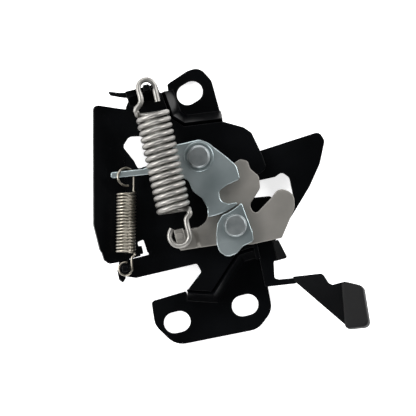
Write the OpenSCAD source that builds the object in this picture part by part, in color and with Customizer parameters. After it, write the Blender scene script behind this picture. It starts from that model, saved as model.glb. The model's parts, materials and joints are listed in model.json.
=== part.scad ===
// Bonnet latch: a folded steel bracket that carries a sprung hook, its pawl and a safety lever.
// The mounting plane is z = 0, +X runs along the lower pair of bolt slots and +Z faces the front.

/* [Bracket] */
// Thickness of the bracket's sheet
sheet_t = 2.5; // [2:0.1:3]
// Height of the web's back above the mounting plane
web_h = 9.5; // [9:0.1:11]
// Width in plan of the slope between a flange and the web
slope_run = 3.5; // [3:0.1:4]
// Fold of the guard flange beside the springs, in degrees
guard_fold = 15; // [8:1:18]
// Width of the guard flange
guard_w = 14.5; // [10:0.5:16]

/* [Mounting] */
// Distance between the two lower bolt slots
bolt_spacing = 30; // [26:0.5:32]
// Width of each bolt slot
slot_w = 9; // [8:0.1:10]
// Overall length of each bolt slot
slot_l = 11.5; // [11:0.1:12.5]
// Place of the upper bolt slot along X
top_bolt_x = 14; // [13:0.5:16]
// Place of the upper bolt slot along Y
top_bolt_y = 94; // [92:0.5:95.5]
// Turn of the upper bolt slot, in degrees
top_slot_turn = 17; // [0:1:25]

/* [Pivots] */
// Place of the pawl's pivot along X
pawl_x = 11; // [10:0.1:12]
// Place of the pawl's pivot along Y
pawl_y = 66; // [65:0.1:67]
// Place of the hook's pivot along X
hook_x = 19; // [18:0.1:20]
// Place of the hook's pivot along Y
hook_y = 34.5; // [33.5:0.1:35.5]
// Diameter of both rivets' shanks
shank_d = 6.4; // [5:0.1:7]
// Diameter of both rivets' front heads
head_d = 9.6; // [8.5:0.1:11]
// Height of both rivets' front heads
head_h = 2.2; // [1.5:0.1:3]
// Radial clearance of what turns on a rivet
run_clear = 0.05; // [0.02:0.01:0.08]
// Radial clearance of what a rivet holds still
seat_clear = 0.02; // [0.01:0.01:0.05]

/* [Plates] */
// Gap between plates that slide past each other
slide_gap = 0.4; // [0.3:0.05:0.6]
// Thickness of the hook
hook_t = 4; // [3:0.1:5]
// Thickness of the pawl
pawl_t = 3.6; // [3:0.1:4.5]
// Thickness of the safety lever
lever_t = 3; // [2:0.1:3.2]
// Distance from the pawl's pivot to the tip that holds the hook
pawl_reach = 25.5; // [24.5:0.1:26.5]
// Free play between the pawl's tip and the hook's tooth
tooth_play = 0.8; // [0.7:0.05:1.2]

/* [Springs] */
// Outer diameter of the main spring
main_d = 14.4; // [12:0.1:15]
// Wire diameter of the main spring
main_wire = 2.2; // [1.8:0.1:2.3]
// Whole turns of the main spring
main_turns = 17; // [10:1:19]
// Outer diameter of the pawl's spring
small_d = 8.4; // [7:0.1:9]
// Wire diameter of the pawl's spring
small_wire = 1.2; // [0.9:0.1:1.3]
// Whole turns of the pawl's spring
small_turns = 19; // [14:1:20]
// Wire diameter of the lever's return spring
return_wire = 0.9; // [0.6:0.1:1]

/* [Handle] */
// Rise of the handle out of the lever's plane, in degrees
handle_rise = 18; // [5:1:25]
// Thickness of the grip around the handle's end
grip_wall = 1.6; // [1:0.1:2.5]

/* [Hidden] */
$fn = 64;
arc_steps = 6;
bite = 0.3;
pawl_axis = [pawl_x, pawl_y];
hook_axis = [hook_x, hook_y];
shank_r = shank_d / 2;
web_z = web_h;
web_top = web_h + sheet_t;
hook_z = web_top + slide_gap;
hook_top = hook_z + hook_t;
pawl_z = hook_top + slide_gap;
pawl_top = pawl_z + pawl_t;
head_z = pawl_top + slide_gap / 2;
lever_top = web_z - slide_gap;
lever_z = lever_top - lever_t;
main_r = (main_d - main_wire) / 2;
small_r = (small_d - small_wire) / 2;
main_z = pawl_top + slide_gap + main_d / 2;
small_z = pawl_z + pawl_t / 2;
coil_pitch = 1.1;
loop_sweep = 285;
loop_steps = 14;
loop_slack = 0.45;
finger_w = 2.6;
finger_d = 2.4;
finger_over = 1.4;
finger_corner = norm([finger_w, finger_d]) / 2;
main_finger_top = main_z + main_wire + finger_over;
small_finger_top = small_z + small_wire + finger_over;
main_loop_r = finger_corner + main_wire / 2 + loop_slack;
small_loop_r = finger_corner + small_wire / 2 + loop_slack;
small_ring_tilt = 45;
pawl_bar_w = 2.8;
small_ring_r = norm([pawl_bar_w, pawl_t / sin(small_ring_tilt)]) / 2 + small_wire / 2 + 2 * loop_slack;
main_top = [-3, 98.5];
main_tail = [hook_x - 23.5, hook_y + 1.5];
small_top = [pawl_x - 32.5, pawl_y + 1.8];
small_foot = [-30, 28];
wire_sides = 6;
tab_w = 13.5;
tail_w = 7.7;
tail_drop = 5;
rear_head_h = 1.8;
tooth_from = 7.5;
tooth_to = 17.5;
tip_from = 1.2;
stop_over = 2.7;
return_turns = 2;
return_room = (return_turns + 1) * return_wire * coil_pitch + 0.2;
return_r = shank_r + return_wire;
return_leg = 9.5;
return_seat = 1.6;
return_bore = return_wire / 2 + 0.06;

// Creases where the slopes meet the web
lower_crease = [[-7, 13], [2.5, 10], [17, 23.5], [25, 24]];
upper_crease = [[24.5, 78], [8, 80], [3.2, 85], [2, 96.5]];

// Outlines are [x, y, corner radius], those of moving plates measured from their own pivot
hook_outline = [[-22, 4.2, 1], [-9.5, 3.7, 4], [-5, 8.5, 4], [-2, 17.5, 6], [5.5, 24.3, 2], [10.2, 25.9, 3],
                [13.8, 20, 3], [15.2, 15.5, 3], [12.4, 10.2, 2], [8.6, 8.4, 2], [8.6, 3.2, 2.2], [14, 3.2, 2.2],
                [19, 10.4, 4], [26.9, 11.2, 4.5], [26.3, 1.6, 6], [19, -7.7, 3], [6, -7.7, 8], [-7.5, -4.7, 6],
                [-22, -3.5, 1]];
ratchet_outline = [[4.5, 10.4, 1], [6.2, 8.8, 1.5], [6.8, -6.3, 1.5], [3, -8.4, 2], [-1, -11, 4],
                   [-6.9, -9.4, 4], [-6.8, -1.5, 2], [-4.6, 1.5, 1]];
pawl_outline = [[-6, 5.8, 1], [2.2, 7, 5.5], [6, 3.7, 4], [12.9, -5, 5], [14.4, -11, 5], [14.2, -13.3, 1],
                [9, -14.5, 4], [4.6, -15.8, 2.5], [3.6, -19.2, 2.5]];
pawl_left = [[-0.4, -21, 4], [-1.6, -16.5, 3], [-5.2, -10.5, 4], [-15, -8, 4], [-23, -3, 2], [-26.5, 0.2, 1],
             [-37.8, 0.6, 1], [-37.5, 3.4, 1], [-24.8, 3, 1.5], [-30, 10, 3], [-25, 13.2, 3], [-17, 9, 5]];
lever_outline = [[14, 27.8, 1], [44.3, 29.9, 2.5], [45.6, 25.5, 3], [36.5, 10.3, 12], [28.5, -1, 3], [18, -7.5, 3],
                 [17.6, -17.5, 3], [20.4, -24.2, 0.5], [14, -29.8, 0.5], [10.5, -26.5, 2], [9, -12.5, 4], [0, -5, 1],
                 [-4, 0, 1], [0, 5, 1], [8, 2.4, 1], [25.4, 2.4, 1.5], [27, 6.5, 2], [27.3, 14, 2.5],
                 [24.8, 17, 2], [21.5, 15.7, 1.5], [14, 15.9, 1]];
handle_outline = [[0, 1, 0.2], [8.5, 1, 0.2], [7.8, -13.7, 4], [11.8, -20, 2], [11.5, -25, 1], [13.2, -29, 1],
                  [7.5, -37.5, 1], [2.6, -34.5, 1], [2.4, -30, 2]];
grip_outline = [[1, -35.8, 2], [9.1, -43, 2.5], [16.6, -33, 2.5], [12.2, -25.8, 2]];
lever_hub_r = 7;
handle_root = [hook_x + 14, hook_y - 29.8];
handle_turn = 41.2;

function unit(v) = v / norm(v);
function plan(p) = [p.x, p.y];
function turn_of(v) = atan2(v.y, v.x);
function short_turn(a) = a > 180 ? a - 360 : a < -180 ? a + 360 : a;

// One corner of an outline, as an arc tangent to both sides
function corner(before, at, after) =
    at[2] == undef || at[2] == 0 ? [plan(at)] :
    let (a = unit(plan(before) - plan(at)), b = unit(plan(after) - plan(at)),
         half = acos(a * b) / 2,
         centre = plan(at) + unit(a + b) * at[2] / sin(half),
         from = plan(at) + a * at[2] / tan(half) - centre,
         to = plan(at) + b * at[2] / tan(half) - centre,
         sweep = short_turn(turn_of(to) - turn_of(from)))
    [for (i = [0 : arc_steps])
        centre + at[2] * [cos(turn_of(from) + sweep * i / arc_steps), sin(turn_of(from) + sweep * i / arc_steps)]];

function rounded(pts) =
    let (n = len(pts))
    [for (i = [0 : n - 1]) each corner(pts[(i + n - 1) % n], pts[i], pts[(i + 1) % n])];

// A line moved sideways by d, to its right, with mitred corners
function side_of(v) = [v.y, -v.x];
function shifted(line, d) =
    [for (i = [0 : len(line) - 1])
        let (a = side_of(unit(line[min(i + 1, len(line) - 1)] - line[min(i, len(line) - 2)])),
             b = side_of(unit(line[max(i, 1)] - line[max(i - 1, 0)])))
        line[i] + (a + b) * d / (1 + a * b)];

// Faces of a tube whose rings follow each other in the point list
function tube_faces(rings, sides) = concat(
    [[for (k = [0 : sides - 1]) k]],
    [for (i = [0 : rings - 2], k = [0 : sides - 1])
        [(i + 1) * sides + k, (i + 1) * sides + (k + 1) % sides, i * sides + (k + 1) % sides, i * sides + k]],
    [[for (k = [sides - 1 : -1 : 0]) (rings - 1) * sides + k]]);

// The sloped wall between a flange at the mounting plane and the web
module slope(crease) {
    lean = sheet_t * tan(atan2(web_h, slope_run) / 2);
    foot = shifted(crease, slope_run);
    foot_top = shifted(crease, slope_run + lean);
    crease_top = shifted(crease, lean);
    points = [for (i = [0 : len(crease) - 1]) each [
        [foot[i].x, foot[i].y, 0],
        [crease[i].x, crease[i].y, web_z],
        [crease_top[i].x, crease_top[i].y, web_top],
        [foot_top[i].x, foot_top[i].y, sheet_t]]];
    polyhedron(points, tube_faces(len(crease), 4));
}

module plate(outline, z, t) {
    translate([0, 0, z])
        linear_extrude(t)
            polygon(rounded(outline));
}

module slot(at, turn) {
    span = slot_l - slot_w;
    translate([at.x, at.y, -1])
        rotate(turn) {
            for (s = [-1, 1])
                translate([s * span / 2, 0, 0])
                    cylinder(d = slot_w, h = sheet_t + 2);
            translate([-span / 2, -slot_w / 2, 0])
                cube([span, slot_w, sheet_t + 2]);
        }
}

module bore(at, r, z, t) {
    translate([at.x, at.y, z - 1])
        cylinder(r = r, h = t + 2);
}

module finger(at, low, high) {
    translate([at.x - finger_w / 2, at.y - finger_d / 2, low])
        cube([finger_w, finger_d, high - low]);
}

// A wire swept along a path, its section carried from point to point without twisting
function path_way(path) =
    [for (i = [0 : len(path) - 1]) unit(path[min(i + 1, len(path) - 1)] - path[max(i - 1, 0)])];
function flat_to(n, way) = unit(n - (n * way) * way);

module wire(path, d, first_side) {
    way = path_way(path);
    last = len(path) - 1;
    sides = [for (i = 0, n = flat_to(first_side, way[0]); i <= last;
                  i = i + 1, n = flat_to(n, way[min(i, last)])) n];
    points = [for (i = [0 : last], k = [0 : wire_sides - 1])
        path[i] + d / 2 * (cos(k * 360 / wire_sides) * sides[i] + sin(k * 360 / wire_sides) * cross(way[i], sides[i]))];
    polyhedron(points, tube_faces(len(path), wire_sides));
}

// The end loop of an extension spring, from the last coil out to a ring about the finger that holds it
function end_loop(coil_r, bend, loop_r, gap, end) = concat(
    [for (a = [30 : 30 : 90]) [coil_r, end * bend * sin(a), end * bend * (1 - cos(a))]],
    [for (i = [0 : loop_steps])
        let (b = loop_sweep * i / loop_steps)
        [loop_r * cos(b), end * bend * (1 - b / loop_sweep), end * (gap + loop_r * sin(b))]]);
function spun(p, a) = [p.x * cos(a) - p.y * sin(a), p.x * sin(a) + p.y * cos(a), p.z];
function backwards(list) = [for (i = [len(list) - 1 : -1 : 0]) list[i]];

module extension_spring(top, foot, z, coil_r, d, turns, steps, foot_r, top_r, spin) {
    way = unit(top - foot);
    axis = [way.x, way.y, 0];
    across = [way.y, -way.x, 0];
    all_turns = turns + spin / 360;
    length = all_turns * d * coil_pitch;
    gap = (norm(top - foot) - length) / 2;
    start = [foot.x, foot.y, z] + axis * gap;
    coil = [for (i = [0 : round(all_turns * steps)])
        let (a = i * 360 * all_turns / round(all_turns * steps))
        [coil_r * cos(a), coil_r * sin(a), length * a / (360 * all_turns)]];
    path = concat(
        backwards(end_loop(coil_r, d, foot_r, gap, -1)),
        coil,
        [for (p = end_loop(coil_r, d, top_r, gap, 1)) spun(p, spin) + [0, 0, length]]);
    wire([for (p = path) start + p.x * across + p.y * [0, 0, 1] + p.z * axis], d, [0, 0, 1]);
}

module base_plate() {
    web_outline = concat(
        [[-13.8, 94, 1], [-12, 96.5, 0]],
        [for (p = backwards(shifted(upper_crease, bite))) [p.x, p.y, 0]],
        [[32.5, 73.8, 2], [35.2, 70.8, 2], [37.4, 60, 3], [37.8, 54.6, 2.5], [33.2, 52.6, 2.5], [29, 57, 3],
         [26.4, 52, 2], [26.4, 37, 2], [27.4, 30, 2]],
        [for (p = backwards(shifted(lower_crease, bite))) [p.x, p.y, 0]],
        [[0.4, 18.8, 1], [-0.6, 22.6, 1], [-27, 22.9, 2], [-32, 25, 1.5], [-33, 31.2, 1], [-9, 31.2, 0], [-9, 32.2, 0],
         [-29, 32.2, 0]]);
    lower_outline = concat(
        [for (p = shifted(lower_crease, slope_run - bite)) [p.x, p.y, 0]],
        [[26.6, 8, 8], [25.8, -5, 8], [18, -11.3, 8], [-18, -9.6, 9], [-24.6, 1, 8], [-23.6, 11.3, 1.5], [-8, 12, 1]]);
    upper_outline = concat(
        [for (p = shifted(upper_crease, slope_run - bite)) [p.x, p.y, 0]],
        [[5.5, 100, 1], [15, 103.4, 4], [20.5, 104, 5], [24.3, 97, 5], [24.6, 84, 1]]);
    guard_foot = [-29, 32.2];
    guard_head = [-13.8, 94];
    guard_l = norm(guard_head - guard_foot);
    guard_outline = [[0, -bite, 0], [guard_l - 1, -bite, 0], [guard_l + 1, guard_w, 2], [14, guard_w, 6],
                     [2, guard_w - 3, 3], [0.5, 5, 2]];
    tab_profile = [[93.5, web_z], [96.2, web_z], [99.6, main_z - 4], [97, main_z - 4], [94, web_top], [93.5, web_top]];
    lip_outline = [[-11, 99, 0], [-14.5, 99.8, 0.5], [-18.8, 101.4, 0.4], [-19, 100.3, 0.4], [-14.5, 98.4, 0.5], [-11, 97.2, 0]];
    color("#16171a")
    difference() {
        union() {
            plate(web_outline, web_z, sheet_t);
            plate(lower_outline, 0, sheet_t);
            plate(upper_outline, 0, sheet_t);
            slope(lower_crease);
            slope(upper_crease);
            translate([guard_foot.x, guard_foot.y, web_z])
                rotate([guard_fold, 0, turn_of(guard_head - guard_foot)])
                    plate(guard_outline, 0, sheet_t);
            translate([-12, 0, 0])
                rotate([90, 0, 90])
                    linear_extrude(tab_w)
                        polygon(tab_profile);
            finger(main_top, main_z - 6, main_finger_top);
            plate(lip_outline, main_z - 7, 1.6);
            finger(small_foot, web_z, small_finger_top);
        }
        slot([-bolt_spacing / 2, 0], 0);
        slot([bolt_spacing / 2, 0], 0);
        slot([top_bolt_x, top_bolt_y], top_slot_turn);
        bore(pawl_axis, shank_r + seat_clear, web_z, sheet_t);
        bore(hook_axis, shank_r + seat_clear, web_z, sheet_t);
        translate([hook_x - return_leg, hook_y - return_r, web_z - 1])
            cylinder(r = return_bore, h = 1 + return_seat, $fn = 24);
    }
}

// A shouldered rivet: a chamfered front head, the shank and a rear head
module rivet(at, rear_z, rear_h, rear_d) {
    chamfer = head_h * 0.35;
    translate([at.x, at.y, 0])
        rotate_extrude()
            polygon([[0, rear_z], [rear_d / 2 - chamfer, rear_z], [rear_d / 2, rear_z + chamfer],
                     [rear_d / 2, rear_z + rear_h], [shank_r, rear_z + rear_h], [shank_r, head_z], [head_d / 2, head_z],
                     [head_d / 2, head_z + head_h - chamfer], [head_d / 2 - chamfer, head_z + head_h], [0, head_z + head_h]]);
}

module pawl_rivet() {
    color("#a9a99f")
        rivet(pawl_axis, web_z - rear_head_h, rear_head_h, head_d);
}

module hook_rivet() {
    color("#a9a99f")
        rivet(hook_axis, lever_z - return_room - rear_head_h, rear_head_h, head_d + 3);
}

module pawl_spacer() {
    color("#9fa3a5")
    translate([pawl_x, pawl_y, web_top])
        difference() {
            cylinder(d = head_d + 2, h = pawl_z - slide_gap / 2 - web_top);
            translate([0, 0, -1])
                cylinder(r = shank_r + seat_clear, h = pawl_z);
        }
}

module latch_hook() {
    color("#b7b2a8")
    difference() {
        union() {
            translate([hook_x, hook_y, 0])
                plate(hook_outline, hook_z, hook_t);
            translate([main_tail.x - hook_t / 2, hook_y - 3.5, hook_z])
                cube([hook_t, tail_w, main_z - tail_drop - hook_z]);
            finger(main_tail, hook_z, main_finger_top);
        }
        bore(hook_axis, shank_r + run_clear, hook_z, hook_t);
    }
}

// The tooth is an arc about the pawl's pivot, so the pawl slides off it without lifting
function about_pawl(r, a) = r * [sin(a), -cos(a)];
module ratchet_plate() {
    tooth_r = pawl_reach + tooth_play;
    tooth = [for (i = [0 : arc_steps])
        pawl_axis - hook_axis + about_pawl(tooth_r, tooth_from + (tooth_to - tooth_from) * i / arc_steps)];
    stop = pawl_axis - hook_axis + about_pawl(pawl_reach - 0.6, tooth_to + stop_over);
    color("#9fb0b6")
    difference() {
        translate([hook_x, hook_y, 0])
            plate(concat(tooth, [[stop.x, stop.y, 0.5]], ratchet_outline), hook_top, pawl_top - hook_top);
        bore(hook_axis, shank_r + run_clear, hook_top, pawl_t + slide_gap);
    }
}

module pawl() {
    heel = about_pawl(pawl_reach - 1.15, tooth_to);
    tip = [for (i = [0 : arc_steps]) about_pawl(pawl_reach, tooth_to - (tooth_to - tip_from) * i / arc_steps)];
    color("#9fb0b6")
    difference() {
        translate([pawl_x, pawl_y, 0])
            plate(concat(pawl_outline, [[heel.x, heel.y, 0.7]], tip, pawl_left), pawl_z, pawl_t);
        bore(pawl_axis, shank_r + run_clear, pawl_z, pawl_t);
    }
}

module main_spring() {
    color("#b3ada0")
        extension_spring(main_top, main_tail, main_z, main_r, main_wire, main_turns, 16, main_loop_r, main_loop_r, 0);
}

module pawl_spring() {
    color("#a39d8f")
        extension_spring(small_top, small_foot, small_z, small_r, small_wire, small_turns, 12,
                         small_loop_r, small_ring_r, small_ring_tilt);
}

module in_handle_plane() {
    translate([handle_root.x, handle_root.y, lever_z])
        rotate([0, 0, handle_turn])
            rotate([-handle_rise, 0, 0])
                children();
}

module safety_lever() {
    color("#141518")
    difference() {
        union() {
            translate([hook_x, hook_y, 0])
                plate(lever_outline, lever_z, lever_t);
            translate([hook_x, hook_y, lever_z])
                cylinder(r = lever_hub_r, h = lever_t);
            in_handle_plane()
                plate(handle_outline, 0, lever_t);
        }
        bore(hook_axis, shank_r + run_clear, lever_z, lever_t);
        translate([hook_x + return_leg, hook_y - return_r, lever_z - 1])
            cylinder(r = return_bore, h = 1 + return_seat, $fn = 24);
    }
}

module lever_grip() {
    color("#1d1e21")
    difference() {
        in_handle_plane()
            plate(grip_outline, -grip_wall, lever_t + 2 * grip_wall);
        in_handle_plane()
            plate(handle_outline, 0, lever_t);
    }
}

// Coiled about the rivet's tail, one bent leg seated in the lever and one in the web
module lever_spring() {
    low = lever_z - return_room + return_wire / 2 + 0.1;
    high = low + return_turns * return_wire * coil_pitch;
    bend = return_wire;
    steps = 16;
    coil = [for (i = [0 : return_turns * steps])
        let (a = -90 - i * 360 / steps)
        [return_r * cos(a), return_r * sin(a), low + (high - low) * i / (return_turns * steps)]];
    lever_leg = [[return_leg, -return_r, lever_z + return_seat - 0.2], [return_leg, -return_r, low + bend],
                 [return_leg - bend * 0.3, -return_r, low + bend * 0.3], [return_leg - bend, -return_r, low],
                 [return_r / 2, -return_r, low]];
    web_leg = [[-return_r / 2, -return_r, high], [bend - return_leg, -return_r, high],
               [bend * 0.3 - return_leg, -return_r, high + bend * 0.3], [-return_leg, -return_r, high + bend],
               [-return_leg, -return_r, web_z + return_seat - 0.2]];
    color("#8d8a82")
        wire([for (p = concat(lever_leg, coil, web_leg)) p + [hook_x, hook_y, 0]], return_wire, [0, 1, 0]);
}

base_plate();
pawl_rivet();
hook_rivet();
pawl_spacer();
latch_hook();
ratchet_plate();
pawl();
main_spring();
pawl_spring();
safety_lever();
lever_grip();
lever_spring();
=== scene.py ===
# %% [markdown]
# # Bonnet latch
# The latch holds a bonnet down by a striker bar. A folded black bracket carries two rivets. A zinc hook turns
# on the lower one, a zinc pawl on the upper one locks the hook, and a black lever behind the bracket catches
# the bonnet if the hook lets go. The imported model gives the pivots, the layers and the bracket. This file
# presses the plates with finer outlines around those pivots, winds the springs from round wire and gives each
# piece its finish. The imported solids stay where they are.

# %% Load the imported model
import json
import math
import bmesh
import bpy
from mathutils import Matrix, Vector


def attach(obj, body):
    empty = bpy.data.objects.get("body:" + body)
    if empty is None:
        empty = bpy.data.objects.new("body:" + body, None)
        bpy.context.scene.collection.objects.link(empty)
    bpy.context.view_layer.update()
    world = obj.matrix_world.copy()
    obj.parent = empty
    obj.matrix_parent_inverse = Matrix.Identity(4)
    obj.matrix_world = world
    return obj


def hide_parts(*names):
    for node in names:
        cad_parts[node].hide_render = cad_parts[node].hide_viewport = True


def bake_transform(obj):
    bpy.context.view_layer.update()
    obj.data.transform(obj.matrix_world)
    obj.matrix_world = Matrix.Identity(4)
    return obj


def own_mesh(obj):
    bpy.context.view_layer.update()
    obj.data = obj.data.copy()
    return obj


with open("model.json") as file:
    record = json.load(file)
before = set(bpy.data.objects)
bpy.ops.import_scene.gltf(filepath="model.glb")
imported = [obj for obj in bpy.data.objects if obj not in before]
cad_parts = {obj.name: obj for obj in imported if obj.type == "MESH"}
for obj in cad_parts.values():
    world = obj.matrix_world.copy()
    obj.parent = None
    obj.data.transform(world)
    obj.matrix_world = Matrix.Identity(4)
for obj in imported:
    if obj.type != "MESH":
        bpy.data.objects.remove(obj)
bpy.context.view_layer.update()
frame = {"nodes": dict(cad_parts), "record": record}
MM = 0.001
behaviour = frame["record"]["behaviour"]
body_of_node = {node: body for body, nodes in behaviour["bodies"].items() for node in nodes}
print("nodes:", ", ".join(sorted(frame["nodes"])))

# %% [markdown]
# ## Camera
# The latch lies on its mounting flanges and is seen straight from above, turned a little. A short lens near
# it would spread the front plates over the flanges behind them, so a long lens looks from 0.7 m. A camera
# that looks down needs no aiming: it keeps its own down direction and is only turned about the vertical.

# %% Camera above the mounting plane
CAMERA_HEIGHT = 0.7
VIEW_CENTRE = (9.65 * MM, 44.3 * MM)
HALF_VIEW = 89.44 * MM
VIEW_TURN = math.radians(-14)

camera_data = bpy.data.cameras.new("camera")
camera_data.angle = 2 * math.atan(HALF_VIEW / CAMERA_HEIGHT)
camera_data.clip_start = 0.01
camera = bpy.data.objects.new("camera", camera_data)
camera.location = (VIEW_CENTRE[0], VIEW_CENTRE[1], CAMERA_HEIGHT)
camera.rotation_euler = (0, 0, VIEW_TURN)
bpy.context.scene.collection.objects.link(camera)
bpy.context.scene.camera = camera
print("lens", round(camera_data.lens, 1), "mm")

# %% [markdown]
# ## Values that can be calculated with
# A material is a graph of nodes, and a long graph is hard to read as code. Wrapping a socket in a small class
# lets the shader maths be written as ordinary expressions: each operator adds one Math node. The reflected
# forms let a plain number stand on the left.

# %% A socket that takes part in expressions
class Shade:
    def __init__(self, tree, socket=None):
        self.tree = tree
        self.socket = socket

    def add(self, kind, settings=None, inputs=None, output=0):
        made = self.tree.nodes.new(kind)
        for key, value in (settings or {}).items():
            if key == "stops":
                ramp = made.color_ramp.elements
                while len(ramp) < len(value):
                    ramp.new(1.0)
                for stop, (place, colour) in zip(ramp, value):
                    stop.position = place
                    stop.color = (*colour, 1.0)
            else:
                setattr(made, key, value)
        for key, value in (inputs or {}).items():
            if isinstance(value, Shade):
                self.tree.links.new(value.socket, made.inputs[key])
            else:
                made.inputs[key].default_value = value
        return Shade(self.tree, made.outputs[output])

    def math(self, operation, first, second):
        return self.add("ShaderNodeMath", {"operation": operation}, {0: first, 1: second})

    def __add__(self, other):
        return self.math("ADD", self, other)

    def __radd__(self, other):
        return self.math("ADD", other, self)

    def __mul__(self, other):
        return self.math("MULTIPLY", self, other)

    def __rmul__(self, other):
        return self.math("MULTIPLY", other, self)

    def noise(self, scale, detail=3.0, roughness=0.5):
        inputs = {"Vector": self, "Scale": scale, "Detail": detail, "Roughness": roughness}
        return self.add("ShaderNodeTexNoise", inputs=inputs)

    def between(self, low, high):
        return self.add("ShaderNodeValToRGB", {"stops": [low, high]}, {"Fac": self})

    def bump(self, strength, distance):
        return self.add("ShaderNodeBump", inputs={"Height": self, "Strength": strength, "Distance": distance})


print("sockets can be added and multiplied")

# %% A finish from one recipe
def finish_of(name, recipe, **fixed):
    material = bpy.data.materials.new(name)
    material.use_nodes = True
    tree = material.node_tree
    surface = tree.nodes["Principled BSDF"]
    for key, value in fixed.items():
        surface.inputs[key.replace("_", " ")].default_value = value
    place = Shade(tree).add("ShaderNodeTexCoord", output="Object")
    for key, value in recipe(place).items():
        tree.links.new(value.socket, surface.inputs[key])
    print("finish", name, "with", len(tree.nodes), "nodes")
    return material


print("a recipe can become a finish")

# %% [markdown]
# ## Finishes
# The bracket and the lever are dipped in a thin black coat, so they are almost black, satin, and faintly
# uneven where the coat ran. The hook is bare-looking matte zinc with a warm tint, while the pawl and the
# ratchet have the blue tint of a bright passivated plating. Spring wire is drawn, so it has a satin shine
# along its length. One flat colour for each would be simpler, but it would look like plastic. So all of them
# get their grain from noise in the object's own metres, which keeps it the same size on every piece.

# %% Black dipped coat
def black_coat_recipe(place):
    cloud = place.noise(scale=45.0)
    grain = place.noise(scale=2600.0, detail=2.0)
    return {
        "Base Color": cloud.between((0.35, (0.0009, 0.0010, 0.0012)), (0.75, (0.0020, 0.0023, 0.0028))),
        "Roughness": 0.20 + 0.16 * cloud + 0.05 * grain,
        "Normal": grain.bump(strength=0.08, distance=0.00012),
    }


black_coat = finish_of("black_coat", black_coat_recipe, Specular_IOR_Level=0.18, IOR=1.29)

# %% Warm matte zinc
def warm_zinc_recipe(place):
    cloud = place.noise(scale=70.0)
    grain = place.noise(scale=3200.0, detail=3.0, roughness=0.6)
    return {
        "Base Color": cloud.between((0.3, (0.19, 0.182, 0.166)), (0.75, (0.255, 0.244, 0.225))),
        "Roughness": 0.42 + 0.10 * cloud + 0.10 * grain,
        "Normal": grain.bump(strength=0.12, distance=0.0001),
    }


warm_zinc = finish_of("warm_zinc", warm_zinc_recipe, Metallic=0.75)

# %% Blue bright zinc
def blue_zinc_recipe(place):
    cloud = place.noise(scale=55.0)
    grain = place.noise(scale=2800.0, detail=3.0, roughness=0.6)
    return {
        "Base Color": cloud.between((0.3, (0.31, 0.37, 0.38)), (0.75, (0.50, 0.565, 0.575))),
        "Roughness": 0.26 + 0.14 * cloud + 0.06 * grain,
        "Normal": grain.bump(strength=0.08, distance=0.0001),
    }


blue_zinc = finish_of("blue_zinc", blue_zinc_recipe, Metallic=0.9)

# %% Rivet steel
def rivet_zinc_recipe(place):
    cloud = place.noise(scale=220.0)
    grain = place.noise(scale=2400.0, detail=2.0)
    return {
        "Base Color": cloud.between((0.3, (0.24, 0.265, 0.27)), (0.75, (0.36, 0.385, 0.39))),
        "Roughness": 0.30 + 0.14 * cloud,
        "Normal": grain.bump(strength=0.10, distance=0.0001),
    }


rivet_zinc = finish_of("rivet_zinc", rivet_zinc_recipe, Metallic=0.85)

# %% Drawn spring wire, bright and dull
def bright_wire_recipe(place):
    cloud = place.noise(scale=160.0)
    grain = place.noise(scale=3000.0, detail=2.0)
    return {
        "Base Color": cloud.between((0.3, (0.22, 0.213, 0.20)), (0.75, (0.34, 0.33, 0.31))),
        "Roughness": 0.34 + 0.12 * cloud + 0.05 * grain,
        "Normal": grain.bump(strength=0.05, distance=0.0001),
    }


def dull_wire_recipe(place):
    cloud = place.noise(scale=200.0)
    grain = place.noise(scale=3000.0, detail=2.0)
    return {
        "Base Color": cloud.between((0.3, (0.24, 0.22, 0.18)), (0.75, (0.39, 0.36, 0.305))),
        "Roughness": 0.22 + 0.12 * cloud + 0.05 * grain,
        "Normal": grain.bump(strength=0.06, distance=0.0001),
    }


bright_wire = finish_of("bright_wire", bright_wire_recipe, Metallic=0.88)
dull_wire = finish_of("dull_wire", dull_wire_recipe, Metallic=0.95)

# %% Rubber grip
def grip_rubber_recipe(place):
    cloud = place.noise(scale=120.0)
    grain = place.noise(scale=2000.0, detail=3.0, roughness=0.6)
    return {
        "Base Color": cloud.between((0.3, (0.0016, 0.0016, 0.0018)), (0.75, (0.0034, 0.0034, 0.0038))),
        "Roughness": 0.55 + 0.2 * cloud,
        "Normal": grain.bump(strength=0.25, distance=0.00015),
    }


grip_rubber = finish_of("grip_rubber", grip_rubber_recipe, Specular_IOR_Level=0.2)

# %% [markdown]
# ## Pressed pieces
# A stamped plate never has a perfect edge: the punch pulls one rim round and tumbling wears the other. That
# thin round is what catches the light. Bevelling a solid would work, but a flat curve with a fill gives such
# a plate directly: it is extruded by the sheet's thickness, its edge is rounded by the curve's own bevel, and
# a second closed curve inside it is a hole.

# %% An outline with round corners
ARC_STEPS = 8


def rounded(points):
    outline = []
    for i, (x, y, r) in enumerate(points):
        at = Vector((x, y))
        if r == 0:
            outline.append(at)
            continue
        a = (Vector(points[i - 1][:2]) - at).normalized()
        b = (Vector(points[(i + 1) % len(points)][:2]) - at).normalized()
        half = a.angle(b) / 2
        centre = at + (a + b).normalized() * r / math.sin(half)
        start = at + a * r / math.tan(half) - centre
        stop = at + b * r / math.tan(half) - centre
        sweep = -start.angle_signed(stop)
        for k in range(ARC_STEPS + 1):
            turn = sweep * k / ARC_STEPS
            c = math.cos(turn)
            s = math.sin(turn)
            outline.append(centre + Vector((start.x * c - start.y * s, start.x * s + start.y * c)))
    return outline


print("outlines can have round corners")

# %% Rings, arcs and outlines measured from a pivot
def ring(centre, radius, steps=48):
    turns = [2 * math.pi * k / steps for k in range(steps)]
    return [Vector((centre[0] + radius * math.cos(a), centre[1] + radius * math.sin(a))) for a in turns]


def below(centre, radius, degrees):
    a = math.radians(degrees)
    return centre[0] + radius * math.sin(a), centre[1] - radius * math.cos(a)


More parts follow.
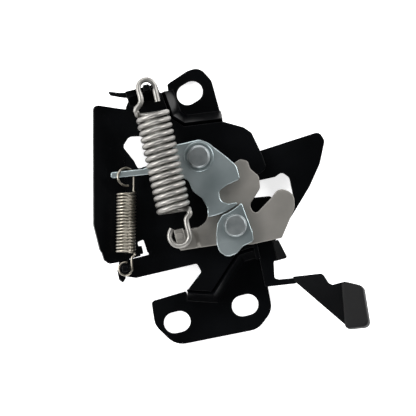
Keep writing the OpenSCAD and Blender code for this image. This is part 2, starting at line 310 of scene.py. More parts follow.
def arc_below(centre, radius, first, last):
    angles = [first + (last - first) * k / ARC_STEPS for k in range(ARC_STEPS + 1)]
    return [(*below(centre, radius, degrees), 0) for degrees in angles]


def from_pivot(points, pivot):
    return [(x + pivot[0], y + pivot[1], r) for x, y, r in points]


print("arcs have", ARC_STEPS, "steps")

# %% A stamped plate from an outline in millimetres
def stamped(name, outline, holes, low, thickness, edge, place=None):
    curve = bpy.data.curves.new(name, "CURVE")
    curve.dimensions = "2D"
    curve.fill_mode = "BOTH"
    curve.extrude = (thickness / 2 - edge) * MM
    curve.bevel_depth = edge * MM
    curve.bevel_resolution = 2
    curve.offset = -edge * MM
    for loop in [outline] + holes:
        spline = curve.splines.new("POLY")
        spline.points.add(len(loop) - 1)
        spline.use_cyclic_u = True
        for point, p in zip(spline.points, loop):
            point.co = (p.x * MM, p.y * MM, 0.0, 1.0)
    carrier = bpy.data.objects.new(name, curve)
    bpy.context.scene.collection.objects.link(carrier)
    mesh = bpy.data.meshes.new_from_object(carrier.evaluated_get(bpy.context.evaluated_depsgraph_get()))
    bpy.data.objects.remove(carrier)
    mesh.transform(Matrix.Translation((0.0, 0.0, (low + thickness / 2) * MM)))
    if place is not None:
        mesh.transform(place)
    return mesh


def block(name, low, high, edge):
    x, y, z = low
    far_x, far_y, far_z = high
    outline = [Vector(corner) for corner in ((x, y), (far_x, y), (far_x, far_y), (x, far_y))]
    return stamped(name, outline, [], z, far_z - z, edge)


print("plates and blocks can be stamped")

# %% A finished piece that stands for its node
SMOOTH_UP_TO = math.radians(50)


def finished_piece(node, mesh, finish):
    mesh.shade_smooth()
    mesh.set_sharp_from_angle(angle=SMOOTH_UP_TO)
    mesh.materials.clear()
    mesh.materials.append(finish)
    piece = bpy.data.objects.new(mesh.name, mesh)
    bpy.context.scene.collection.objects.link(piece)
    piece.modifiers.new("even_normals", "WEIGHTED_NORMAL").keep_sharp = True
    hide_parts(node)
    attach(piece, body_of_node[node])
    print(piece.name, "with", len(mesh.polygons), "faces")


def pressed_piece(node, meshes, finish):
    shape = bmesh.new()
    for mesh in meshes:
        shape.from_mesh(mesh)
        bpy.data.meshes.remove(mesh)
    bmesh.ops.remove_doubles(shape, verts=shape.verts, dist=2e-7)
    bmesh.ops.recalc_face_normals(shape, faces=shape.faces)
    mesh = bpy.data.meshes.new(node + "_pressed")
    shape.to_mesh(mesh)
    shape.free()
    finished_piece(node, mesh, finish)


print("pieces are smooth up to", round(math.degrees(SMOOTH_UP_TO)), "degrees")

# %% [markdown]
# ## Pawl and ratchet
# The pawl is one blue-zinc plate: a round eye for the upper rivet, a C-shaped notch and a tongue whose end
# stands on the ratchet's tooth. A plain bar runs to the left for the small spring. Tongue and tooth could be
# straight, but as arcs about the pawl's pivot they let the pawl slide off the tooth without lifting it.

# %% Pivots of the hook and the pawl, in millimetres
joints = {joint["name"]: joint for joint in behaviour["joints"]}
HOOK_PIVOT = Vector(joints["hook_turn"]["pos_m"][:2]) / MM
PAWL_PIVOT = Vector(joints["pawl_turn"]["pos_m"][:2]) / MM
print("the hook turns about", HOOK_PIVOT, "and the pawl about", PAWL_PIVOT)

# %% Layers, in millimetres above the mounting plane
SHEET_T = 2.5
LEVER_T = 3.0
PLATE_T = 4.0
PAWL_T = 3.6
LEVER_BACK = 6.1
WEB_BACK = 9.5
WEB_FRONT = WEB_BACK + SHEET_T
HOOK_BACK = 12.4
RATCHET_BACK = HOOK_BACK + PLATE_T
PAWL_BACK = 16.8
PAWL_FRONT = PAWL_BACK + PAWL_T
print("plates from", LEVER_BACK, "to", PAWL_FRONT, "mm")

# %% Pawl with its eye, tongue and bar
BORE_R = 3.25
REACH = 25.5
TONGUE_TIP = 25.5
TONGUE_HEEL = -5.0
TONGUE_CHAMFER = 0.9
BAR_T = 1.6
RIM_R = 6.3
RIM_HOLE_R = 5.2
RIM_T = 0.6

pawl_eye = [(2.0, 7.0, 3.5), (5.2, 4.8, 3.0), (11.2, -2.6, 8.0), (14.5, -7.4, 4.0), (14.6, -13.2, 1.4),
            (8.8, -14.3, 3.5), (4.7, -15.9, 2.4), (4.5, -20.2, 2.4), (7.2, -22.0, 1.3)]
pawl_root = [(-1.6, -21.5, 3.0), (-2.8, -17.2, 4.0), (-6.0, -13.2, 4.0), (-6.6, -8.0, 4.0),
             (-13.0, -4.6, 3.0), (-17.0, -2.8, 0.6), (-17.4, 2.0, 0.6), (-14.0, 3.6, 4.0), (-8.0, 7.2, 3.0)]
pawl_bar = [(-14.0, -3.2, 0.6), (-23.2, -1.9, 2.0), (-37.6, 0.1, 0.9), (-37.3, 2.6, 0.9), (-23.6, 0.7, 2.0),
            (-14.0, 2.6, 0.6)]
tongue = [(*below(PAWL_PIVOT, REACH - TONGUE_CHAMFER, TONGUE_TIP), 0)]
tongue += arc_below(PAWL_PIVOT, REACH, TONGUE_TIP, TONGUE_HEEL)
pawl_edge = rounded(from_pivot(pawl_eye, PAWL_PIVOT) + tongue + from_pivot(pawl_root, PAWL_PIVOT))
pawl_plate = stamped("pawl", pawl_edge, [ring(PAWL_PIVOT, BORE_R)], PAWL_BACK, PAWL_T, edge=0.4)
rim_hole = ring(PAWL_PIVOT, RIM_HOLE_R)
pawl_rim = stamped("pawl_rim", ring(PAWL_PIVOT, RIM_R), [rim_hole], PAWL_FRONT - RIM_T / 2, RIM_T, edge=0.25)
bar_edge = rounded(from_pivot(pawl_bar, PAWL_PIVOT))
pawl_strip = stamped("pawl_strip", bar_edge, [], PAWL_BACK + (PAWL_T - BAR_T) / 2, BAR_T, edge=0.3)
pressed_piece("pawl", [pawl_plate, pawl_rim, pawl_strip], blue_zinc)

# %% Ratchet plate with its tooth
PLAY = 0.8
TOOTH_HEEL = 8.0
TOOTH_TIP = 26.5
LIP_TIP = 29.0
LIP_RISE = 0.2
LIP_ROUND = 0.5

tooth = arc_below(PAWL_PIVOT, REACH + PLAY, TOOTH_HEEL, TOOTH_TIP)
tooth.append((*below(PAWL_PIVOT, REACH - LIP_RISE, LIP_TIP), LIP_ROUND))
ratchet_side = [(5.0, 7.4, 1.2), (5.5, 2.5, 4.0), (6.3, -4.5, 3.0), (5.8, -8.2, 1.5), (0.8, -9.2, 4.0),
                (-2.4, -11.6, 3.0), (-6.6, -12.0, 3.0), (-9.2, -9.0, 3.0), (-9.4, -5.4, 2.0),
                (-8.6, -1.5, 3.0), (-7.0, 2.8, 1.5)]
ratchet_edge = rounded(tooth + from_pivot(ratchet_side, HOOK_PIVOT))
hook_bore = ring(HOOK_PIVOT, BORE_R)
ratchet_plate = stamped("ratchet", ratchet_edge, [hook_bore], RATCHET_BACK, PLATE_T, edge=0.35)
pressed_piece("ratchet_plate", [ratchet_plate], blue_zinc)

# %% [markdown]
# ## Hook
# The hook is a thick cast-looking plate. Its upper lobe and its lower finger close round the striker, and the
# pocket between them runs up to the right. Its tail steps down and reaches under the large spring, where a
# block and a peg take the loop. The step could be a second plate, but a seam would show. So the tail is
# sliced a few times, and the slices' front points are lowered along a smooth curve.

# %% Lower the front of a plate's end in a smooth step
def stepped_down(mesh, start, run, drop, middle):
    shape = bmesh.new()
    shape.from_mesh(mesh)
    for k in range(ARC_STEPS + 1):
        everything = shape.verts[:] + shape.edges[:] + shape.faces[:]
        slice_at = ((start - run * k / ARC_STEPS) * MM, 0.0, 0.0)
        bmesh.ops.bisect_plane(shape, geom=everything, dist=1e-7, plane_co=slice_at, plane_no=(1.0, 0.0, 0.0))
    for v in shape.verts:
        if v.co.z > middle * MM:
            t = min(max((start - v.co.x / MM) / run, 0.0), 1.0)
            v.co.z -= drop * MM * t ** 2 * (3 - 2 * t)
    shape.to_mesh(mesh)
    shape.free()
    print(mesh.name, "steps down by", drop, "mm")


print("plates can be stepped down")

# %% Hook plate with its pocket and tail
# The outlines of the hook and the lever are measured from this point, a little to the lower left of the pivot
HOOK_ZERO = (17.1, 33.1)
hook_outline = [(-23.6, 5.0, 1.0), (-13.0, 4.4, 3.0), (-9.5, 6.0, 4.0), (-6.5, 12.5, 6.0), (-3.5, 19.0, 6.0),
                (5.5, 26.0, 3.0), (10.6, 28.0, 2.5), (13.6, 26.3, 2.0), (13.7, 23.0, 3.0), (16.6, 19.0, 3.0),
                (15.9, 14.0, 3.5), (9.8, 8.2, 2.5), (10.9, 3.6, 1.6), (19.6, 9.0, 2.5), (23.4, 12.3, 3.5),
                (29.2, 8.6, 4.5), (27.9, 2.4, 4.0), (19.6, -8.5, 1.0), (6.9, -8.1, 6.0), (-8.2, -4.8, 6.0),
                (-23.2, -3.4, 1.0)]
hook_edge = rounded(from_pivot(hook_outline, HOOK_ZERO))
hook_plate = stamped("hook", hook_edge, [hook_bore], HOOK_BACK, PLATE_T, edge=0.4)
stepped_down(hook_plate, start=3.4, run=2.4, drop=0.85, middle=HOOK_BACK + PLATE_T / 2)

# %% Block and peg on the hook's tail
MAIN_TAIL = (-4.5, 36.0)
PEG_W = 2.6
PEG_D = 2.4
TAIL_W = 4.0
tail_x, tail_y = MAIN_TAIL
tail_block = block("tail_block", (tail_x - TAIL_W / 2, 31.0, 12.6),
                   (tail_x + TAIL_W / 2, 38.7, 23.0), edge=0.4)
tail_peg = block("tail_peg", (tail_x - PEG_W / 2, tail_y - PEG_D / 2, 14.0),
                 (tail_x + PEG_W / 2, tail_y + PEG_D / 2, 31.6), edge=0.3)
pressed_piece("latch_hook", [hook_plate, tail_block, tail_peg], warm_zinc)

# %% [markdown]
# ## Safety lever
# The lever lies behind the bracket. Its upper arm ends in the catch that stops the bonnet. Its foot has a lip
# bent back and narrows to a strip, and from the strip a handle rises towards the hand and carries a rubber
# grip. Lip, handle and grip could be folded from one mesh, but it is easier to draw each one flat and then
# turn it into its sloping plane.

# %% Lever plate
lever_outline = [(15.9, 29.2, 1.0), (46.2, 31.3, 2.5), (47.6, 27.0, 3.0), (43.2, 18.0, 12.0),
                 (36.6, 9.6, 12.0), (27.0, 0.0, 4.0), (16.2, -9.8, 0.5), (16.2, -17.5, 0.3),
                 (14.2, -17.4, 0.8), (12.8, -24.6, 1.0), (14.6, -25.6, 0.5), (21.4, -26.6, 0.4),
                 (21.2, -29.0, 0.4), (8.0, -27.2, 0.8), (8.8, -8.6, 1.0), (5.5, -6.9, 2.0), (0.0, -6.5, 1.0),
                 (-5.0, 0.0, 1.0), (0.0, 8.0, 1.0), (9.5, 11.0, 1.0), (13.0, 10.7, 1.0), (19.3, 9.8, 1.5),
                 (22.0, 6.5, 2.0), (27.3, 5.8, 2.0), (28.9, 8.0, 2.0), (29.2, 15.4, 2.5), (26.7, 18.4, 2.0),
                 (23.4, 17.1, 1.5), (15.9, 17.3, 1.0)]
LEVER_ROUND = 0.3
lever_edge = rounded(from_pivot(lever_outline, HOOK_ZERO))
lever_plate = stamped("lever", lever_edge, [hook_bore], LEVER_BACK, LEVER_T, LEVER_ROUND)
print("lever outline with", len(lever_edge), "points")

# %% Lip, handle and grip in their sloping planes
LIP_ROOT = (33.3, 0.0)
LIP_BEND = math.radians(35)
HANDLE_ROOT = (38.3, 5.5)
HANDLE_TURN = math.radians(41.2)
HANDLE_RISE = math.radians(-18)
GRIP_BACK = -1.6
GRIP_T = 6.2
GRIP_ROUND = 0.8


def foot_of_plane(root, height):
    return Matrix.Translation((root[0] * MM, root[1] * MM, height * MM))


lip_plane = foot_of_plane(LIP_ROOT, LEVER_BACK + LEVER_T) @ Matrix.Rotation(LIP_BEND, 4, "Y")
lip_edge = rounded([(-0.6, 15.5, 0.2), (5.2, 15.5, 0.8), (2.7, 24.0, 0.8), (-0.6, 24.2, 0.2)])
lever_lip = stamped("lever_lip", lip_edge, [], -LEVER_T, LEVER_T, LEVER_ROUND, lip_plane)

handle_plane = foot_of_plane(HANDLE_ROOT, LEVER_BACK) @ Matrix.Rotation(HANDLE_TURN, 4, "Z")
handle_plane = handle_plane @ Matrix.Rotation(HANDLE_RISE, 4, "X")
handle_edge = rounded([(0.6, 1.1, 0.2), (8.9, -8.6, 1.5), (7.1, -13.1, 1.5), (7.4, -15.1, 1.0),
                       (10.8, -18.0, 0.8), (12.5, -24.0, 1.0), (2.0, -36.0, 1.0), (-3.4, -29.3, 0.8),
                       (-0.6, -1.0, 0.2)])
handle_plate = stamped("handle", handle_edge, [], 0.0, LEVER_T, LEVER_ROUND, handle_plane)
pressed_piece("safety_lever", [lever_plate, lever_lip, handle_plate], black_coat)

grip_edge = rounded([(10.9, -17.3, 1.5), (14.3, -26.2, 2.5), (1.9, -38.4, 2.5), (-4.7, -30.6, 1.5)])
grip_body = stamped("grip", grip_edge, [], GRIP_BACK, GRIP_T, GRIP_ROUND, handle_plane)
pressed_piece("lever_grip", [grip_body], grip_rubber)

# %% [markdown]
# ## Bracket and rivets
# The folded bracket and the turned rivets are copied from their solids, because drawing the folds again would
# gain nothing. The copy of the bracket gets the window beside the large spring and the small hook-shaped slot
# by its arm, cut with Boolean modifiers. Then the sharp edges are bevelled by a few tenths of a millimetre,
# and a few small ends and lugs are added.

# %% Cut a copy of a solid
def cut_copy(node, cutters):
    carrier = bpy.data.objects.new(node + "_cut", frame["nodes"][node].data.copy())
    bpy.context.scene.collection.objects.link(carrier)
    tools = []
    for cutter in cutters:
        tool = bpy.data.objects.new(cutter.name, cutter)
        bpy.context.scene.collection.objects.link(tool)
        cut = carrier.modifiers.new(cutter.name, "BOOLEAN")
        cut.operation = "DIFFERENCE"
        cut.solver = "EXACT"
        cut.object = tool
        tools.append(tool)
    mesh = bpy.data.meshes.new_from_object(carrier.evaluated_get(bpy.context.evaluated_depsgraph_get()))
    for made in [carrier] + tools:
        bpy.data.objects.remove(made)
    print(node, "copied with", len(cutters), "cuts")
    return mesh


print("solids can be copied and cut")

# %% Wear the edges of a copy
SHARP = math.radians(28)
WEAR_STEPS = 2
FLAT = math.radians(0.6)


def worn_copy(node, width, finish, cutters=(), added=()):
    shape = bmesh.new()
    source = cut_copy(node, cutters)
    low = [min(v.co[k] for v in source.vertices) for k in range(3)]
    high = [max(v.co[k] for v in source.vertices) for k in range(3)]
    shape.from_mesh(source)
    bmesh.ops.remove_doubles(shape, verts=shape.verts, dist=2e-6)
    bmesh.ops.dissolve_limit(shape, angle_limit=FLAT, verts=shape.verts, edges=shape.edges)
    edges = [e for e in shape.edges if len(e.link_faces) == 2 and e.calc_face_angle() > SHARP]
    bmesh.ops.bevel(shape, geom=edges, offset=width * MM, offset_type="OFFSET", segments=WEAR_STEPS,
                    profile=0.5, affect="EDGES", clamp_overlap=False)
    stray = 0
    for v in shape.verts:
        held = Vector([min(max(v.co[k], low[k]), high[k]) for k in range(3)])
        stray += (held - v.co).length > 1e-6
        v.co = held
    for extra in added:
        shape.from_mesh(extra)
    mesh = bpy.data.meshes.new(node + "_worn")
    shape.to_mesh(mesh)
    shape.free()
    if "custom_normal" in mesh.attributes:
        mesh.attributes.remove(mesh.attributes["custom_normal"])
    print(node, "worn along", len(edges), "edges,", stray, "points held in the solid's box")
    finished_piece(node, mesh, finish)


print("edges over", round(math.degrees(SHARP)), "degrees are worn")

# %% Window and slot in the web
CUT_BACK = 8.0
WINDOW_DEPTH = 8.0
SLOT_DEPTH = 6.0
CUT_ROUND = 0.01
window_edge = rounded([(-19.1, 78.3, 2.0), (-15.5, 81.6, 2.5), (-9.5, 80.5, 3.0), (-8.5, 68.0, 2.0),
                       (-15.0, 67.6, 1.0), (-16.0, 71.5, 3.0)])
slot_edge = rounded([(-21.5, 31.4, 0.3), (-19.7, 31.4, 0.3), (-20.1, 37.9, 0.5), (-22.8, 37.5, 0.5),
                     (-22.8, 35.7, 0.3), (-21.5, 35.6, 0.3)])
window = stamped("window", window_edge, [], CUT_BACK, WINDOW_DEPTH, CUT_ROUND)
slot = stamped("slit", slot_edge, [], CUT_BACK, SLOT_DEPTH, CUT_ROUND)
print("cutters:", window.name, "and", slot.name)

# %% Ends and lugs of the bracket
INSET = 0.02
LUG_INSET = 0.1
GUARD_FOOT = (-29.0, 32.2)
GUARD_HEAD = (-13.8, 94.0)
GUARD_FOLD = math.radians(15)
INNER_T = SHEET_T - 2 * INSET
TAB_BACK = 20.8
TAB_T = 2.0
END_ROUND = 0.2

arm_root = block("arm_root", (-19.4, 30.9, WEB_BACK), (-8.0, 32.5, WEB_FRONT), INSET)
neck_lug = block("neck_lug", (24.2, 18.2, WEB_BACK + LUG_INSET),
                 (26.1, 25.4, WEB_FRONT - LUG_INSET), edge=0.3)

guard_turn = math.atan2(GUARD_HEAD[1] - GUARD_FOOT[1], GUARD_HEAD[0] - GUARD_FOOT[0])
guard_plane = foot_of_plane(GUARD_FOOT, WEB_BACK) @ Matrix.Rotation(guard_turn, 4, "Z")
guard_plane = guard_plane @ Matrix.Rotation(GUARD_FOLD, 4, "X")
toe_edge = rounded([(9.0, 13.2, 1.0), (-0.9, 10.0, 1.0), (-2.5, 7.8, 1.5), (-1.8, 3.3, 0.5),
                    (-0.7, -0.7, 0.2), (3.0, -0.7, 0.2), (6.0, 5.0, 0.2)])
guard_toe = stamped("guard_toe", toe_edge, [], INSET, INNER_T, END_ROUND, guard_plane)

web_edge = rounded([(-29.6, 31.3, 0.2), (-22.9, 31.5, 0.2), (-22.9, 33.0, 0.2), (-29.0, 33.5, 0.2)])
web_toe = stamped("web_toe", web_edge, [], WEB_BACK + INSET, INNER_T, INSET)
prong_edge = rounded([(-32.9, 30.2, 0.4), (-24.7, 30.2, 0.2), (-25.8, 25.9, 0.2), (-28.1, 25.7, 0.4),
                      (-31.2, 26.7, 0.5), (-31.2, 23.9, 0.7), (-32.9, 22.2, 0.7), (-34.2, 24.0, 0.7),
                      (-34.0, 27.8, 0.6)])
arm_prong = stamped("arm_prong", prong_edge, [], WEB_BACK + INSET, INNER_T, END_ROUND)
tab_edge = rounded([(-10.8, 96.4, 0.2), (-10.8, 98.6, 0.2), (-14.5, 99.4, 0.5), (-18.2, 101.0, 0.6),
                    (-18.9, 99.7, 0.6), (-14.8, 97.9, 0.5)])
tab_tip = stamped("tab_tip", tab_edge, [], TAB_BACK, TAB_T, END_ROUND)
bracket_ends = [arm_root, neck_lug, guard_toe, web_toe, arm_prong, tab_tip]
print("bracket ends:", ", ".join(end.name for end in bracket_ends))

# %% Bracket and rivets
BRACKET_WEAR = 0.30
SPACER_WEAR = 0.20
RIVET_WEAR = 0.15
worn_copy("base_plate", BRACKET_WEAR, black_coat, cutters=(window, slot), added=bracket_ends)
worn_copy("pawl_spacer", SPACER_WEAR, blue_zinc)
worn_copy("pawl_rivet", RIVET_WEAR, rivet_zinc)
worn_copy("hook_rivet", RIVET_WEAR, rivet_zinc)

# %% [markdown]
# ## Springs
# A spring is a round wire wound on a mandrel, with its ends bent out into loops. A curve with a bevel could
# make it, but it twists in the tight bends. So a ring of points is carried along the path without twisting,
# and a smooth curve through the path's points takes out the corners of the end loops.

# %% A smooth path through a few points
def through(points, parts):
    smooth = []
    for i in range(len(points) - 1):
        a = points[max(i - 1, 0)]
        b = points[i]
        c = points[i + 1]
        d = points[min(i + 2, len(points) - 1)]
        for k in range(parts):
            t = k / parts
            smooth.append(0.5 * (2 * b + (c - a) * t + (2 * a - 5 * b + 4 * c - d) * t ** 2
                                 + (3 * b - a - 3 * c + d) * t ** 3))
    return smooth + [points[-1]]


print("paths can be smoothed")

# %% A round wire along a path
WIRE_SIDES = 14
WIRE_SMOOTH_UP_TO = math.radians(60)


def round_wire(name, path, diameter, finish):
    shape = bmesh.new()
    last = len(path) - 1
    ways = [(path[min(i + 1, last)] - path[max(i - 1, 0)]).normalized() for i in range(len(path))]
    turns = [2 * math.pi * k / WIRE_SIDES for k in range(WIRE_SIDES)]
    side = ways[0].orthogonal()
    rings = []
    for point, way in zip(path, ways):
        side = (side - way * side.dot(way)).normalized()
        up = way.cross(side)
        outward = [math.cos(a) * side + math.sin(a) * up for a in turns]
        rings.append([shape.verts.new(point + diameter / 2 * out) for out in outward])
    for low, high in zip(rings, rings[1:]):
        for k in range(WIRE_SIDES):
            shape.faces.new((low[k], low[(k + 1) % WIRE_SIDES], high[(k + 1) % WIRE_SIDES], high[k]))
    shape.faces.new(list(reversed(rings[0])))
    shape.faces.new(rings[-1])
    bmesh.ops.recalc_face_normals(shape, faces=shape.faces)
    mesh = bpy.data.meshes.new(name)
    shape.to_mesh(mesh)
    shape.free()
    mesh.shade_smooth()
    mesh.set_sharp_from_angle(angle=WIRE_SMOOTH_UP_TO)
    mesh.materials.append(finish)
    piece = bpy.data.objects.new(name, mesh)
    bpy.context.scene.collection.objects.link(piece)
    print(name, "with", len(mesh.polygons), "faces")
    return piece


print("wires have", WIRE_SIDES, "sides")

# %% The loop at a spring's end
LOOP_SWEEP = math.radians(285)
LOOP_STEPS = 14
RING_END = (LOOP_SWEEP, 0.0)
HOOK_END = (math.pi, 6.5)
OPEN_END = (math.radians(215), 1.5)


def end_loop(coil_r, bend, loop_r, gap, end, sweep, tail):
    out = []
    for a in (math.radians(30), math.radians(60), math.radians(90)):
        out.append(Vector((coil_r, end * bend * math.sin(a), end * bend * (1 - math.cos(a)))))
    out.append(Vector((loop_r, end * bend, end * (bend + abs(coil_r - loop_r)))))
    for i in range(LOOP_STEPS + 1):
        b = sweep * i / LOOP_STEPS
        level = end * bend * (1 - b / LOOP_SWEEP)
        out.append(Vector((loop_r * math.cos(b), level, end * (gap + loop_r * math.sin(b)))))
    if tail:
        last = out[-1]
        way = Vector((-math.sin(sweep), 0.0, end * math.cos(sweep)))
        out += [last + way * tail / 2, last + way * tail]
    return out


print("a ring end sweeps", round(math.degrees(LOOP_SWEEP)), "degrees")

# %% The path of a drawn spring with its two loops
COIL_STEPS = 16
PATH_PARTS = 3


def drawn_spring_path(top, foot, height, coil_r, wire, turns, pitch, foot_r, top_r, spin, foot_end, top_end):
    reach = Vector((top[0] - foot[0], top[1] - foot[1], 0.0))
    axis = reach.normalized()
    across = Vector((axis.y, -axis.x, 0.0))
    up = Vector((0.0, 0.0, 1.0))
    all_turns = turns + spin / (2 * math.pi)
    length = all_turns * wire * pitch
    gap = (reach.length - length) / 2
    start = Vector((foot[0], foot[1], height)) + axis * gap
    count = round(all_turns * COIL_STEPS)
    coil = []
    for i in range(count + 1):
        a = 2 * math.pi * all_turns * i / count
        coil.append(Vector((coil_r * math.cos(a), coil_r * math.sin(a), length * i / count)))
    lower = end_loop(coil_r, wire, foot_r, gap, -1, *foot_end)
    turn = Matrix.Translation((0.0, 0.0, length)) @ Matrix.Rotation(spin, 4, "Z")
    upper = [turn @ p for p in end_loop(coil_r, wire, top_r, gap, 1, *top_end)]
    local = list(reversed(lower)) + coil + upper
    return through([(start + p.x * across - p.y * up + p.z * axis) * MM for p in local], PATH_PARTS)


print("coils have", COIL_STEPS, "points a turn")

# %% [markdown]
# ## Main spring
# The large spring pulls the hook's tail towards the tab at the top of the bracket, so the hook snaps open.
# When the hook turns, the spring only gets shorter and stays straight, so flattening it along the line that
# its lower loop travels would suit it better than bending it. Here the wire hangs from the bracket, and the
# script only works out how far that loop travels.

# %% Main spring from the tab to the hook's tail
MAIN_TOP = (-3.0, 98.5)
MAIN_HEIGHT = 28.0
MAIN_WIRE = 2.2
MAIN_PITCH = 1.242
MAIN_TURNS = 15
MAIN_D = 14.4
PEG_CORNER = math.hypot(PEG_W, PEG_D) / 2
LOOP_SLACK = 0.45
OPEN_SLACK = 0.8
main_loop = PEG_CORNER + MAIN_WIRE / 2 + LOOP_SLACK
main_coil = (MAIN_D - MAIN_WIRE) / 2
main_path = drawn_spring_path(MAIN_TOP, MAIN_TAIL, MAIN_HEIGHT, main_coil, MAIN_WIRE, MAIN_TURNS, MAIN_PITCH,
                              foot_r=main_loop + OPEN_SLACK, top_r=main_loop, spin=math.pi,
                              foot_end=OPEN_END, top_end=HOOK_END)
main_spring = round_wire("main_spring_wire", main_path, MAIN_WIRE * MM, bright_wire)
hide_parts("main_spring")
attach(main_spring, "base")

# %% How far the main spring's lower loop travels as the hook opens
HOOK_OPEN = math.radians(joints["hook_turn"]["range_deg"][0])
arm = Vector(MAIN_TAIL) - HOOK_PIVOT
opened = HOOK_PIVOT + Matrix.Rotation(HOOK_OPEN, 2) @ arm
travel = opened - Vector(MAIN_TAIL)
along = travel.normalized()
reach = (Vector(MAIN_TAIL) - Vector(MAIN_TOP)).dot(along)
1 - travel.length / abs(reach)
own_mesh(main_spring)
print("the tail travels", round(travel.length, 1), "mm")

# %% [markdown]
# ## Pawl spring
# The small spring pulls the pawl's bar down to the bracket's arm, which keeps the pawl on the hook's tooth.
# As the pawl turns, the spring changes its length and leans with the bar. Flattening it would miss the lean.
# Here the wire is wound in place once and stays as it is.

# %% Pawl spring from the bar to the arm
SMALL_TOP = (-20.3, 65.2)
SMALL_FOOT = (-30.0, 28.0)
SMALL_HEIGHT = 18.6
SMALL_WIRE = 0.95
SMALL_PITCH = 1.389
SMALL_TURNS = 19
SMALL_D = 8.4
RING_TILT = math.radians(25)
BAR_W = 2.5
RING_SLACK = 2.2 * LOOP_SLACK
small_loop = PEG_CORNER + SMALL_WIRE / 2 + LOOP_SLACK
small_ring = math.hypot(BAR_W, BAR_T / math.sin(RING_TILT)) / 2 + SMALL_WIRE / 2 + RING_SLACK
small_coil = (SMALL_D - SMALL_WIRE) / 2
small_path = drawn_spring_path(SMALL_TOP, SMALL_FOOT, SMALL_HEIGHT, small_coil, SMALL_WIRE, SMALL_TURNS,
                               SMALL_PITCH, foot_r=small_loop, top_r=small_ring, spin=RING_TILT,
                               foot_end=RING_END, top_end=RING_END)
pawl_spring = round_wire("pawl_spring_wire", small_path, SMALL_WIRE * MM, dull_wire)
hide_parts("pawl_spring")
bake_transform(pawl_spring)

# %% [markdown]
# ## Return spring
# Behind the bracket a small torsion spring sits on the lower rivet's tail and swings the safety lever back.
# One bent leg sits in the lever and the other in the bracket. A rigid wire would leave one of its two seats
# when the lever turns; here the wire is wound in place once and stays as it is.

# %% Return spring about the lower rivet
RIVET_TAIL_D = 6.4
RETURN_WIRE = 0.9
RETURN_TURNS = 2
RETURN_PITCH = 1.1
RETURN_R = RIVET_TAIL_D / 2 + RETURN_WIRE
RETURN_LEG = 9.5
RETURN_GAP = 0.1
RETURN_PARTS = 2
SEAT = 1.4
BEND = 0.3 * RETURN_WIRE
return_room = (RETURN_TURNS + 1) * RETURN_WIRE * RETURN_PITCH + 2 * RETURN_GAP
low_z = LEVER_BACK - return_room + RETURN_WIRE / 2 + RETURN_GAP
high_z = low_z + RETURN_TURNS * RETURN_WIRE * RETURN_PITCH
return_points = [(RETURN_LEG, -RETURN_R, LEVER_BACK + SEAT), (RETURN_LEG, -RETURN_R, low_z + RETURN_WIRE),
                 (RETURN_LEG - BEND, -RETURN_R, low_z + BEND), (RETURN_LEG - RETURN_WIRE, -RETURN_R, low_z),
                 (RETURN_R / 2, -RETURN_R, low_z)]
return_steps = RETURN_TURNS * COIL_STEPS
for i in range(return_steps + 1):
    a = -math.pi / 2 - 2 * math.pi * i / COIL_STEPS
    z = low_z + (high_z - low_z) * i / return_steps
    return_points.append((RETURN_R * math.cos(a), RETURN_R * math.sin(a), z))
return_points += [(-RETURN_R / 2, -RETURN_R, high_z), (RETURN_WIRE - RETURN_LEG, -RETURN_R, high_z),
                  (BEND - RETURN_LEG, -RETURN_R, high_z + BEND),
                  (-RETURN_LEG, -RETURN_R, high_z + RETURN_WIRE), (-RETURN_LEG, -RETURN_R, WEB_BACK + SEAT)]
rivet_axis = HOOK_PIVOT.to_3d()
return_path = through([(Vector(p) + rivet_axis) * MM for p in return_points], RETURN_PARTS)
lever_spring = round_wire("lever_spring_wire", return_path, RETURN_WIRE * MM, dull_wire)
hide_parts("lever_spring")
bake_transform(lever_spring)

# %% [markdown]
# ## Floor and light
# The latch lies on a white light table under soft light from the sides. A lamp straight above would turn the
# black coat grey. Side light keeps it black: a flat face that looks up mirrors the dim space above it, while
# slopes and round edges catch the panels.

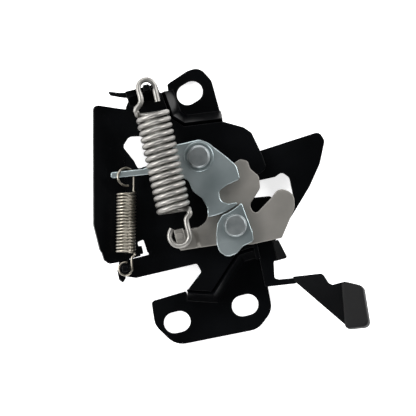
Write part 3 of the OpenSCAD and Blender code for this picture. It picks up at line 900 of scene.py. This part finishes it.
# %% White sheet
HALF_FLOOR = 3.0
FLOOR_DROP = 0.0002
corners = [(-HALF_FLOOR, -HALF_FLOOR), (HALF_FLOOR, -HALF_FLOOR), (HALF_FLOOR, HALF_FLOOR),
           (-HALF_FLOOR, HALF_FLOOR)]
sheet_mesh = bpy.data.meshes.new("floor")
sheet_mesh.from_pydata([(x, y, -FLOOR_DROP) for x, y in corners], [], [(0, 1, 2, 3)])


def white_sheet_recipe(place):
    cloud = place.noise(scale=3.0)
    return {"Base Color": cloud.between((0.3, (0.93, 0.93, 0.93)), (0.7, (0.96, 0.96, 0.96)))}


white_sheet = finish_of("white_sheet", white_sheet_recipe, Roughness=0.9,
                        Emission_Color=(1.0, 1.0, 1.0, 1.0), Emission_Strength=0.75)
sheet_mesh.materials.append(white_sheet)
floor = bpy.data.objects.new("floor", sheet_mesh)
bpy.context.scene.collection.objects.link(floor)

# %% Dim room
world = bpy.data.worlds.new("room")
world.use_nodes = True
room = world.node_tree.nodes["Background"]
room.inputs["Color"].default_value = (0.92, 0.96, 1.0, 1.0)
room.inputs["Strength"].default_value = 0.08
bpy.context.scene.world = world
bpy.context.scene.view_settings.view_transform = "Standard"
print("room light", round(room.inputs["Strength"].default_value, 2))

# %% Soft panels
AIM = Vector((0.01, 0.045, 0.01))
PANEL_DISTANCE = 0.9


def soft_panel(name, direction, elevation, size, power):
    data = bpy.data.lights.new(name, "AREA")
    data.shape = "RECTANGLE"
    data.size = size[0]
    data.size_y = size[1]
    data.energy = power
    panel = bpy.data.objects.new(name, data)
    a = math.radians(direction)
    e = math.radians(elevation)
    away = Vector((math.cos(a) * math.cos(e), math.sin(a) * math.cos(e), math.sin(e)))
    panel.location = AIM + PANEL_DISTANCE * away
    panel.rotation_euler = (AIM - panel.location).to_track_quat("-Z", "Y").to_euler()
    bpy.context.scene.collection.objects.link(panel)
    print("panel", name, "at", tuple(round(v, 2) for v in panel.location))


soft_panel("panel_left", direction=165, elevation=34, size=(0.6, 0.4), power=8.5)
soft_panel("panel_right", direction=15, elevation=34, size=(0.5, 0.4), power=6.5)
soft_panel("panel_top", direction=100, elevation=40, size=(0.8, 0.4), power=5.0)
soft_panel("panel_bottom", direction=265, elevation=30, size=(0.6, 0.35), power=4.0)
